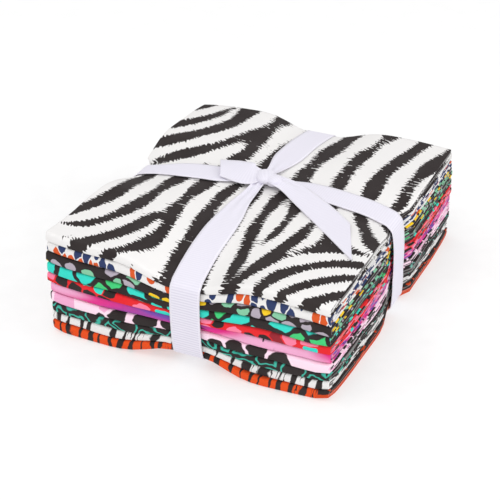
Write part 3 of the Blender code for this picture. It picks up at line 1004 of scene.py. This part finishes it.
class FoldedQuarter:
    """Builds one fat quarter as a sheet of nine plies."""

    def __init__(self, size: QuarterSize, shape: BundleShape, place: QuarterPlace, index: int, count: int):
        """Args: size; shape; place; index, from the floor; count, the quarters in the stack."""
        self.size, self.shape, self.place, self.index = size, shape, place, index
        self.pitch = shape.height / count
        self.step = self.pitch / THIRDS**2
        self.top_spacing = size.fine if index == count - 1 else size.coarse

    def _lengthways(self) -> tuple:
        """The folded line from front to back.

        Returns: arrays of y, s, the normal's two parts, v on the flat cloth, and the pass, 0 to 2.
        """
        size, place = self.size, self.place
        bottom, middle, top = (self.pitch * (self.index + share) for share in (1 / 6, 3 / 6, 5 / 6))
        reach = self.step + size.ply / 2
        front_s, back_s = (top - bottom) / 2, (middle - bottom) / 2
        front_y = front_s * size.fold_reach
        front = -self.shape.half_y + place.front * MM + front_y + reach
        back = self.shape.half_y - place.back * MM - back_s - reach
        fold_s = (bottom + middle) / 2
        y, s, which = np.concatenate([
            level_part(front + 0.6 * MM, back, size.coarse, middle, 0),
            fold_part((back, fold_s), (back_s, back_s), (90, -90), (0, 1), 8),
            level_part(back, front, size.coarse, bottom, 1),
            fold_part((front, middle), (front_y, front_s), (-90, -270), (1, 2), 14, size.fold_squareness),
            level_part(front, back + 0.4 * MM, self.top_spacing, top, 2),
        ], axis=1)
        run = run_along(y, s)
        tangent_y, tangent_s = np.gradient(y, run), np.gradient(s, run)
        norm = np.hypot(tangent_y, tangent_s)
        return y, s, -tangent_s / norm, tangent_y / norm, run / run[-1] * size.length, which

    def _crossways(self) -> tuple:
        """The folded line from side to side, inside a pass.

        Returns: arrays of x, h towards the printed face, u on the flat cloth, and the third, 0 to 2.
        """
        size, step = self.size, self.step
        half = self.shape.half_x - self.place.side * MM
        right, left = half - step / 2 - size.ply / 2, -half + step + size.ply / 2
        x, h, third = np.concatenate([
            level_part(right + 0.3 * MM, left, size.coarse, -step, 0),
            fold_part((left, 0), (step, step), (-90, -270), (0, 1), 7),
            level_part(left, right, self.top_spacing, step, 1),
            fold_part((right, step / 2), (step / 2, step / 2), (90, -90), (1, 2), 6),
            level_part(right, left + 0.4 * MM, size.coarse, 0.0, 2),
        ], axis=1)
        run = run_along(x, h)
        return x, h, run / run[-1] * size.width, third

    def _uneven(self, x: Array, y: Array, which: Array, third: Array) -> tuple:
        """Moves the edges of the plies, and the folds, a little out of line.

        Args: x and y; which and third, the ply's pass and third.
        Returns: x and y.
        """
        size, place, seed = self.size, self.place, 100 * self.index
        side, end = (far**12 for far in self.shape.far(x, y))
        shift = np.zeros_like(x)
        for p in range(THIRDS):
            for t in range(THIRDS):
                weight = np.clip(1 - np.abs(which - p), 0, 1) * np.clip(1 - np.abs(third - t), 0, 1)
                rng = np.random.default_rng(seed + 10 * p + t)
                wave = Waves(seed + 10 * p + t, size.wave_lengths[0])(y + 0.3 * x)
                shift = shift + weight * (size.edge_wave * wave + rng.uniform(*size.edge_draw))
        x = x + side * shift * np.sign(x) * place.ragged
        x = x + np.clip(-x / self.shape.half_x, 0, 1) ** 9 * place.left * MM
        lean = np.where(y < 0, size.front_lean * Waves(seed + 50, size.wave_lengths[1])(x),
                        size.back_lean * Waves(seed + 51, size.wave_lengths[2])(x))
        share = (x / self.shape.half_x + 1) / 2
        skew = place.skew * MM * share * np.clip(-y / self.shape.half_y, 0, 1) ** 4
        return x, y + end * lean + skew

    def build(self, flow: ZebraFlow, materials: list) -> Piece:
        """Builds the sheet. Args: flow, for the zebra; materials. Returns: the object."""
        size, shape = self.size, self.shape
        y, s, normal_y, normal_s, v, which = self._lengthways()
        x, h, u, third = self._crossways()
        grid_x = np.broadcast_to(x[None, :], (len(y), len(x)))
        grid_y = y[:, None] + normal_y[:, None] * h[None, :]
        grid_s = s[:, None] + normal_s[:, None] * h[None, :]
        grid_x, grid_y = self._uneven(grid_x, grid_y, which[:, None], third[None, :])
        slack = self.step - size.ply
        grid_s = (grid_s - slack / 2) * shape.height / (shape.height - slack)
        rise = size.rise * Waves(7, size.rise_wavelength, 3)(grid_x, grid_y, 4 * grid_s)
        near = np.maximum(*shape.far(grid_x, grid_y)) ** 4
        from_foot = np.clip(grid_s / size.still_foot, 0, 1)
        from_top = np.clip((shape.height - grid_s) / size.still_top, 0, 1)
        grid_s = grid_s + rise * near * (from_foot * from_top)
        uv = np.stack(np.broadcast_arrays(u[None, :], v[:, None]), axis=-1)
        piece = grid_object(self.place.node + "_cloth", shape.press(grid_x, grid_y, grid_s), uv)
        if isinstance(self.place.design, ZebraPrint):
            middle = (u[third == 1].mean(), v[which == 2].mean())
            flow.store(piece.data, *(uv.reshape(-1, 2) - middle).T)
        store_values(piece.data, "free_height", grid_s)
        for material in materials:
            piece.data.materials.append(material)
        thicken(piece, size.ply, rim=2, back=1)
        take_place(piece, self.place.node)
        return piece


# -------------------------------------------------------------------------------------- the ribbon


@dataclass(frozen=True)
class RibbonSize:
    """The ribbon, in metres."""

    width: float = RIBBON_WIDTH
    thickness: float = 0.45 * MM
    rib_pitch: float = RIB_PITCH
    rib_height: float = 0.06 * MM
    steps_per_rib: int = 4
    columns: int = 10
    selvedge: float = 1.2 * MM
    clear: float = 0.35 * MM
    side_clear: float = 0.6 * MM  # more of it at the sides, where the plies bulge
    over: float = 0.5 * MM  # how far the sideways loop lies over the other one
    bend: float = 3.5 * MM
    gathered: float = 6.2 * MM
    pleat: float = 0.45 * MM
    climb: float = 2.2 * MM
    climb_reach: float = 24 * MM
    # From where to where each arm widens again, seen from the knot.
    front_gather: tuple = (5 * MM, 60 * MM)
    back_gather: tuple = (5 * MM, 34 * MM)
    side_gather: tuple = (4 * MM, 26 * MM)
    # How much narrower the arm is where it goes over the left edge, from where on, and over how far.
    left_narrowing: float = 0.36
    left_start: float = 44 * MM
    left_fade: float = 22 * MM
    front_lean: float = 1.3 * MM  # how far to the right it goes on its way down the front
    tail_arch: float = 1.6 * MM
    tail_wave: float = 0.25 * MM
    tail_wavelength: float = 17 * MM  # for one radian
    tail_curl: float = 0.5 * MM
    tail_flat_share: float = 0.7  # the share of a tail after which it curls
    long_skew: float = 34 * MM
    short_skew: float = 10 * MM


class Route:
    """A smooth line through points, read by the distance along it."""

    def __init__(self, points: Array, samples: int = 60):
        """Args: points, rows of numbers, the first three in metres; samples, for each stretch."""
        rows = np.array(points, float)
        ends = np.concatenate([[2 * rows[0] - rows[1]], rows, [2 * rows[-1] - rows[-2]]])
        line = []
        for a, b, c, d in zip(ends, ends[1:], ends[2:], ends[3:]):
            t = np.linspace(0, 1, samples, endpoint=False)[:, None]
            line.append(0.5 * (2 * b + (c - a) * t + (2 * a - 5 * b + 4 * c - d) * t**2
                               + (3 * b - 3 * c + d - a) * t**3))
        self.line = np.concatenate(line + [rows[-1:]])
        self.run = run_along(*self.line[:, :3].T)
        self.length = self.run[-1]

    def at(self, distance: Array) -> Array:
        """The line at distances along it, straight on past its ends.

        Args: distance, an array.
        Returns: the rows' numbers at each distance, on a last axis.
        """
        inside = np.clip(distance, 0, self.length)
        value = np.stack([np.interp(inside, self.run, c) for c in self.line.T], axis=-1)
        past = distance - inside
        for beyond, end in ((past < 0, 0), (past > 0, -2)):
            slope = (self.line[end + 1] - self.line[end]) / (self.run[end + 1] - self.run[end])
            value = value + (past * beyond)[..., None] * slope
        return value


class Ribbon:
    """Builds the ribbon: two loops, the knot and the two free ends."""

    NODE = "ribbon"
    KNOT = (-2.0 * MM, 11.5 * MM)
    # The middle line of each loop on the top, in mm: how far along it, and how far across.
    FRONT_TO_BACK = ((-92, 1.2), (-65, -0.8), (-45, -1.8), (-30, -2.3), (-15, -3.5), (-2, -3.5), (12, -2.6),
                     (28, -2.2), (46, -1.9), (64, -1.7), (92, -0.5))
    SIDE_TO_SIDE = ((-80, 3.0), (-66, 3.5), (-50, 5.8), (-20, 8.8), (0, 11.5), (25, 10.5), (45, 9.0),
                    (62, 7.5), (80, 4.5))
    # The free ends: x, y, z, width and how much higher the right-hand edge is, all in mm.
    LONG_TAIL = (
        (0.5, 10.5, 57.4, 8.5, 0.0),
        (7.5, 8.8, 57.0, 10.5, 0.0),
        (15.8, 6.0, 56.2, 12.5, 0.0),
        (27.8, -2.1, 55.5, 15.0, 0.0),
        (39.9, -11.4, 55.2, 16.0, 0.0),
        (53.1, -23.0, 55.4, 16.0, 0.0),
        (63.2, -32.1, 55.6, 16.0, 0.0),
    )
    SHORT_TAIL = (
        (-4.0, 11.8, 57.6, 8.5, 0.5),
        (-8.0, 9.9, 57.7, 14.5, 4.0),
        (-13.0, 9.6, 57.7, 16.0, 4.6),
        (-20.0, 11.0, 57.3, 16.0, 3.2),
        (-28.4, 12.4, 56.6, 15.0, 1.4),
    )
    # The knot's parts: centre and half the size in mm, turn in degrees, pleats, flat size in mm.
    KNOT_PARTS = {
        "ribbon_knot_under": ((-1.0, 10.8, 56.3), (6.4, 4.4, 2.3), -28, 0.025, (16, 10)),
        "ribbon_knot_wrap": ((-1.6, 11.2, 56.7), (6.8, 5.2, 2.5), 118, 0.012, (12, 10)),
        "ribbon_knot_lobe": ((4.2, 8.9, 56.6), (4.4, 4.2, 2.5), -32, 0.02, (10, 10)),
    }
    BEND_POINTS, FINE_POINTS = 16, 2000  # of a loop's line: at each bend, and where it is measured
    KNOT_GRID = (64, 40)
    KNOT_ROUNDNESS = 0.82
    KNOT_LENGTH = 28 * MM  # of ribbon, once round a part of the knot
    SHORTEST_FLAT = 12 * MM

    def __init__(self, size: RibbonSize, shape: BundleShape, finish: RibbonFinish):
        """Args: size; shape, the stack's; finish."""
        self.size, self.shape = size, shape
        self.material = finish.material("ribbon_grosgrain")
        self.columns = np.linspace(-0.5, 0.5, size.columns + 1)[None, :]

    def _dress(self, name: str, points: Array, across: Array, along: Array, closed: bool = False) -> Piece:
        """Adds the ribs to a band's grid of points and makes it a piece.

        Args: name; points, (rows, columns, 3); across and along, its own coordinates in metres;
            closed, whether it is a loop.
        Returns: the object.
        """
        size = self.size
        run = np.gradient(points, axis=0)
        if closed:
            run = (np.roll(points, -1, axis=0) - np.roll(points, 1, axis=0)) / 2
        normal = np.cross(np.gradient(points, axis=1), run)
        normal /= np.linalg.norm(normal, axis=-1, keepdims=True) + 1e-12
        rib = np.sin(2 * np.pi * along / size.rib_pitch)
        edge = smooth((size.width / 2 - np.abs(across)) / size.selvedge)
        worn = 1.2 - 0.95 * normal[..., 2] ** 2
        lift = size.rib_height * (rib * edge * 0.5 * worn + 0.5 * (1 - edge))
        points = points + normal * lift[..., None]
        piece = grid_object(name, points, np.stack([across, along], axis=-1), closed)
        piece.data.materials.append(self.material)
        thicken(piece, size.thickness, offset=-1.0)
        length = float(np.ptp(along)) if not closed else float(along.max() + size.rib_pitch / 4)
        take_place(piece, self.NODE)
        return piece

    def _loop_line(self, half: float, lift: float, place: Callable) -> Array:
        """Points (t, s) once round a section of the free stack, evenly apart on the tied one.

        Args: half, half the section; lift, how far outside the other loop; place, which turns
            (t, s) into points of the tied stack.
        Returns: rows of (t, s).
        """
        size = self.size
        grow = size.clear + size.thickness + lift
        reach, high, low = half + size.side_clear + grow, self.shape.height + grow, -grow
        radius = size.bend
        line = []
        for t, s, start in ((reach, high, 90), (reach, low, 0), (-reach, low, -90), (-reach, high, -180)):
            centre_t, centre_s = t - math.copysign(radius, t), s - math.copysign(radius, s - high / 2)
            angle = np.radians(np.linspace(start, start - 90, self.BEND_POINTS))
            line += list(zip(centre_t + radius * np.cos(angle), centre_s + radius * np.sin(angle)))
        line = np.array([*line, line[0]])
        fine = np.linspace(0, len(line) - 1, self.FINE_POINTS)
        line = np.stack([np.interp(fine, np.arange(len(line)), c) for c in line.T], axis=-1)
        run = run_along(*place(*line.T).T)
        ribs = round(run[-1] / size.rib_pitch)
        where = np.linspace(0, run[-1], ribs * size.steps_per_rib, endpoint=False)
        return np.stack([np.interp(where, run, c) for c in line.T], axis=-1)

    def loop(self, name: str, lengthways: bool) -> Piece:
        """One loop round the stack.

        Args: name; lengthways, whether it runs from front to back.
        Returns: the object.
        """
        size, shape = self.size, self.shape
        half, cross, lift = shape.half_x, self.KNOT[0], size.over
        rows, before, after = self.SIDE_TO_SIDE, size.side_gather, size.side_gather
        if lengthways:
            half, cross, lift = shape.half_y, self.KNOT[1], 0.0
            rows, before, after = self.FRONT_TO_BACK, size.front_gather, size.back_gather
        middle = Route(np.insert(np.array(rows) * MM, 2, 0.0, axis=1)).line

        def centre(t: Array) -> Array:
            """How far across the middle line is. Args: t, the place along the loop."""
            return np.interp(t, middle[:, 0], middle[:, 1])

        def press(t: Array, s: Array, across: Optional[Array] = None) -> Array:
            """Points of the tied stack. Args: t, along; s, up; across, from the middle line if None."""
            across = centre(t) if across is None else across
            return shape.press(across, t, s) if lengthways else shape.press(t, across, s)

        line = self._loop_line(half, lift, press)
        t, s = line[:, :1], line[:, 1:]
        on_top = smooth((s - shape.height + 1 * MM) / (1 * MM))
        start, end = (np.where(t < cross, a, b) for a, b in zip(before, after))
        near = (1 - smooth((np.abs(t - cross) - start) / (end - start))) * on_top
        across = self.columns * size.width
        narrow = 1 - near * (1 - size.gathered / size.width)
        pleat = near * size.pleat * (np.cos(self.columns * 4 * np.pi) + 1)
        side = centre(t)
        if lengthways:
            side = side + size.front_lean * (1 - np.clip(s / shape.height, 0, 1)) * (t < 0)
            pleat = pleat + size.climb * on_top * (1 - smooth(np.abs(t - cross) / size.climb_reach)) ** 2
        else:
            left = smooth((-t - size.left_start) / size.left_fade)
            narrow = narrow - size.left_narrowing * left * smooth(s / half)
        points = press(t, s + pleat, side + across * narrow)
        along = np.arange(len(line))[:, None] * size.rib_pitch / size.steps_per_rib + 0 * across
        across = across + 0 * along
        if not lengthways:
            points, across = points[:, ::-1], across[:, ::-1]
        return self._dress(name, points, across, along, closed=True)

    def tail(self, name: str, rows: tuple, skew: float) -> Piece:
        """One free end.

        Args: name; rows, points of its middle line with the width there, in mm; skew, how much
            longer its right-hand edge is, seen from the knot, in metres.
        Returns: the object.
        """
        size, column = self.size, self.columns
        route = Route(np.array(rows) * MM)
        count = round(route.length / size.rib_pitch * size.steps_per_rib)
        along = np.linspace(0, 1, count)[:, None] * (route.length - skew * column)
        middle = route.at(along)
        ahead = route.at(along + 0.5 * MM)[..., :3] - route.at(along - 0.5 * MM)[..., :3]
        ahead /= np.linalg.norm(ahead, axis=-1, keepdims=True)
        left = np.cross((0.0, 0.0, 1.0), ahead)
        left /= np.linalg.norm(left, axis=-1, keepdims=True)
        normal = np.cross(ahead, left)
        width = middle[..., 3]
        gather = 1 - width / size.width
        arch = gather * size.tail_arch * (np.cos(column * 3 * np.pi) + 0.4)
        curled = smooth((along - size.tail_flat_share * route.length) / (0.4 * route.length))
        wave = size.tail_wave * np.sin(along / size.tail_wavelength) * np.cos(column * np.pi)
        rise = arch + wave + size.tail_curl * curled * (column + 0.3) - column * middle[..., 4]
        points = middle[..., :3] + left * (column * width)[..., None] + normal * rise[..., None]
        flat = column * size.width + 0 * along
        return self._dress(name, points[:, ::-1], flat[:, ::-1], along[:, ::-1])

    def knot_part(self, name: str, centre: tuple, half: tuple, turn: float, pleats: float,
                  flat: tuple) -> Piece:
        """A soft bulge of gathered ribbon, pleated lengthways.

        Args: name; centre and half, its place and half its size, in mm; turn, in degrees; pleats,
            their depth as a share of the size; flat, the ribbon that it takes, in mm: not used.
        Returns: the object.
        """
        rows, columns = self.KNOT_GRID
        lon = np.linspace(0, 2 * np.pi, rows, endpoint=False)[:, None]
        lat = np.linspace(-0.5 * np.pi + 0.02, 0.5 * np.pi - 0.02, columns)[None, :]
        waves = (np.sin(lat), np.cos(lat), np.cos(lon), np.sin(lon))
        x, ring, up, out = (np.sign(wave) * np.abs(wave) ** self.KNOT_ROUNDNESS for wave in waves)
        pleat = 1 + pleats * (np.sin(7 * lon + 1.4 * x) + 0.6 * np.sin(11 * lon - 2.0 * x))
        y, z = ring * up * pleat * half[1] * MM, ring * out * pleat * half[2] * MM
        x = x * half[0] * MM + 0 * lon
        cos, sin = math.cos(math.radians(turn)), math.sin(math.radians(turn))
        points = np.stack([x * cos - y * sin, x * sin + y * cos, z], axis=-1) + np.array(centre) * MM
        across = (lat / np.pi) * self.size.width + 0 * lon
        along = lon / (2 * np.pi) * self.KNOT_LENGTH + 0 * lat
        piece = grid_object(name, points, np.stack([across, along], axis=-1), closed=True)
        piece.data.materials.append(self.material)
        take_place(piece, self.NODE)
        return piece

    def build(self) -> list:
        """Builds every piece of the ribbon. Returns: the objects."""
        pieces = [self.loop("ribbon_loop_lengthways", True), self.loop("ribbon_loop_sideways", False)]
        pieces += [self.knot_part(name, *numbers) for name, numbers in self.KNOT_PARTS.items()]
        pieces.append(self.tail("ribbon_tail_long", self.LONG_TAIL, self.size.long_skew))
        pieces.append(self.tail("ribbon_tail_short", self.SHORT_TAIL, self.size.short_skew))
        return pieces


# --------------------------------------------------------------------------------------- the room


@dataclass(frozen=True)
class Viewpoint:
    """The photograph's viewpoint: angles in degrees, lengths in metres."""

    azimuth: float = 24.6
    elevation: float = 29.9
    distance: float = 0.82
    lens: float = 112.1  # in mm, as the sensor's width
    sensor: float = 36
    nearest: float = 0.01
    aim: tuple = (0.0, 0.0, 0.025)
    aim_right: float = -5.0 * MM
    aim_up: float = -5.4 * MM

    def make_camera(self) -> None:
        """Makes the scene's camera."""
        a, e = math.radians(self.azimuth), math.radians(self.elevation)
        back = Vector((math.sin(a) * math.cos(e), -math.cos(a) * math.cos(e), math.sin(e)))
        right = Vector((math.cos(a), math.sin(a), 0))
        aim = Vector(self.aim) + right * self.aim_right + back.cross(right) * self.aim_up
        data = bpy.data.cameras.new("camera")
        data.lens = self.lens
        data.sensor_width = self.sensor
        data.clip_start = self.nearest
        camera = bpy.data.objects.new("camera", data)
        camera.location = aim + back * self.distance
        camera.rotation_euler = back.to_track_quat("Z", "Y").to_euler()
        bpy.context.scene.collection.objects.link(camera)
        bpy.context.scene.camera = camera


@dataclass(frozen=True)
class Lamp:
    """A soft light: where it stands, what it points at, its size and its power."""

    name: str
    place: tuple
    size: float
    power: float
    target: tuple = (0, 0, 0.03)

    def make(self) -> None:
        """Adds the light."""
        data = bpy.data.lights.new(self.name, "AREA")
        data.shape = "DISK"
        data.size = self.size
        data.energy = self.power
        light = bpy.data.objects.new(self.name, data)
        light.location = self.place
        direction = Vector(self.target) - Vector(self.place)
        light.rotation_euler = direction.to_track_quat("-Z", "Y").to_euler()
        bpy.context.scene.collection.objects.link(light)


class Studio:
    """A plain pale floor, soft light and the camera."""

    WHITE = (1.0, 1.0, 1.0, 1)
    FLOOR = 4.0
    FLOOR_COLOURS = ((0.45, 0.45, 0.45, 1), (0.47, 0.47, 0.47, 1))
    FLOOR_GLOW = 0.52
    ROOM_GLOW = 0.62
    LAMPS = (
        Lamp("lamp_over", (-0.5, -0.3, 1.6), 1.6, 10.4),
        Lamp("lamp_front", (0.5, -1.5, 0.9), 1.4, 9.2),
        Lamp("lamp_right", (1.5, 0.3, 0.7), 1.2, 9.2),
    )

    def build(self, viewpoint: Viewpoint) -> None:
        """Makes the floor, the lights and the camera. Args: viewpoint."""
        graph = Graph("floor")
        grain = graph.noise(graph.add("ShaderNodeTexCoord", output=3), 60, 2.0)
        graph.finish(graph.mix(graph.step(grain, 0.3, 0.7), *self.FLOOR_COLOURS), 0.9, 0.0)
        graph.shader.inputs["Emission Color"].default_value = self.WHITE
        graph.shader.inputs["Emission Strength"].default_value = self.FLOOR_GLOW
        bpy.ops.mesh.primitive_plane_add(size=self.FLOOR, location=(0, 0, 0))
        floor = bpy.context.object
        floor.name = "floor"
        floor.data.materials.append(graph.material)
        for lamp in self.LAMPS:
            lamp.make()
        world = bpy.data.worlds.new("room")
        world.use_nodes = True
        background = world.node_tree.nodes["Background"]
        background.inputs["Color"].default_value = self.WHITE
        background.inputs["Strength"].default_value = self.ROOM_GLOW
        bpy.context.scene.world = world
        bpy.context.scene.view_settings.view_transform = "Standard"
        viewpoint.make_camera()


# --------------------------------------------------------------------------------------- the stack

# From the floor up, as the frame's solids are.
STACK = (
    QuarterPlace("quarter_tiger_orange",
                 BarPrint("tiger", Ink.TIGER, Ink.BLACK, 5.8 * MM, 0.36, 8, 0.1, clear_side=True, seed=1),
                 left=1.4, ragged=0.3),
    QuarterPlace("quarter_stripe_black_white",
                 BarPrint("stripe", Ink.WHITE, Ink.BLACK, 7.8 * MM, 0.34, 20, 0.1, seed=2),
                 front=0.8, back=0.9, side=0.8, skew=0.5, left=1.0),
    QuarterPlace("quarter_vein_teal",
                 PatchPrint("vein", Ink.BLACK, ((0.0, Ink.TEAL),), 9.0 * MM, gap=0.08, outline=0.08,
                            stretch=(1.4, 1.15), lean=14, bend=0.32, seed=3, side=Ink.WHITE),
                 front=0.5, back=0.4, side=0.3, left=2.4),
    QuarterPlace("quarter_patch_pale_pink",
                 PatchPrint("blush", Ink.BLUSH, ((0.0, Ink.BLACK), (0.6, Ink.PINK), (0.8, Ink.BLUSH)),
                            9.5 * MM, gap=0.07, radius=0.62, spread=0.15, stretch=(1.3, 0.95), seed=4),
                 front=0.9, back=0.7, side=0.6, skew=-0.4, left=1.6),
    QuarterPlace("quarter_patch_magenta",
                 BlendPrint("flame", ((0.0, Ink.PINK), (0.37, Ink.MAGENTA), (0.82, Ink.PURPLE)), Ink.BLACK,
                            12 * MM, 120 * MM, 0.483, seed=5),
                 front=1.3, back=0.3, side=1.0, skew=0.4, left=1.6),
    QuarterPlace("quarter_patch_red",
                 PatchPrint("ruby", Ink.RED, ((0.0, Ink.BLACK), (0.34, Ink.ROSE), (0.66, Ink.RED),
                                              (0.84, Ink.TURQUOISE), (0.92, Ink.DEEP_RED)), 6.0 * MM,
                            gap=0.05, radius=0.62, spread=0.25, stretch=(1.4, 0.9), lean=12, seed=6),
                 front=0.1, back=0.8, side=0.4, skew=0.5, left=0.8),
    QuarterPlace("quarter_patch_turquoise",
                 PatchPrint("lagoon", Ink.BLACK, ((0.0, Ink.TURQUOISE), (0.68, Ink.GREEN), (0.93, Ink.BLACK)),
                            8.5 * MM, gap=0.11, radius=0.7, spread=0.14, stretch=(1.35, 1.0), lean=-10,
                            seed=7, side=Ink.SAGE),
                 front=0.2, back=0.2, side=0.7, left=0.6),
    QuarterPlace("quarter_patch_mint_black",
                 PatchPrint("meadow", Ink.BLACK, ((0.0, Ink.LILAC), (0.4, Ink.MINT), (0.62, Ink.YELLOW),
                                                  (0.84, Ink.BLACK)), 6.2 * MM,
                            gap=0.08, radius=0.5, spread=0.15, stretch=(1.35, 0.9), seed=12),
                 back=0.9, side=0.2, skew=0.6, left=0.7),
    QuarterPlace("quarter_spot_navy",
                 PatchPrint("leopard", Ink.WHITE, ((0.0, Ink.NAVY), (0.66, Ink.ORANGE), (0.9, Ink.WHITE)),
                            5.6 * MM, gap=0.05, radius=0.58, spread=0.16, stretch=(0.84, 1.3), lean=8,
                            seed=9),
                 front=0.9, back=0.4, side=0.6, left=0.6),
    QuarterPlace("quarter_zebra", ZebraPrint("zebra"),
                 front=0.1, back=0.2, side=0.3, skew=0.3, left=0.2),
)


def main() -> None:
    """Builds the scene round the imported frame."""
    logging.basicConfig(level=logging.INFO, format="%(name)s: %(message)s")
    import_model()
    shape, cotton, flow = BundleShape(), CottonFinish(), ZebraFlow()
    pieces = []
    for index, place in enumerate(STACK):
        quarter = FoldedQuarter(QuarterSize(), shape, place, index, len(STACK))
        pieces.append(quarter.build(flow, cotton.materials(place.design)))
    pieces += Ribbon(RibbonSize(), shape, RibbonFinish()).build()
    for piece in pieces:
        log.info("%s: %d faces", piece.name, len(piece.data.polygons))
    Studio().build(Viewpoint())


if __name__ == "__main__":
    main()
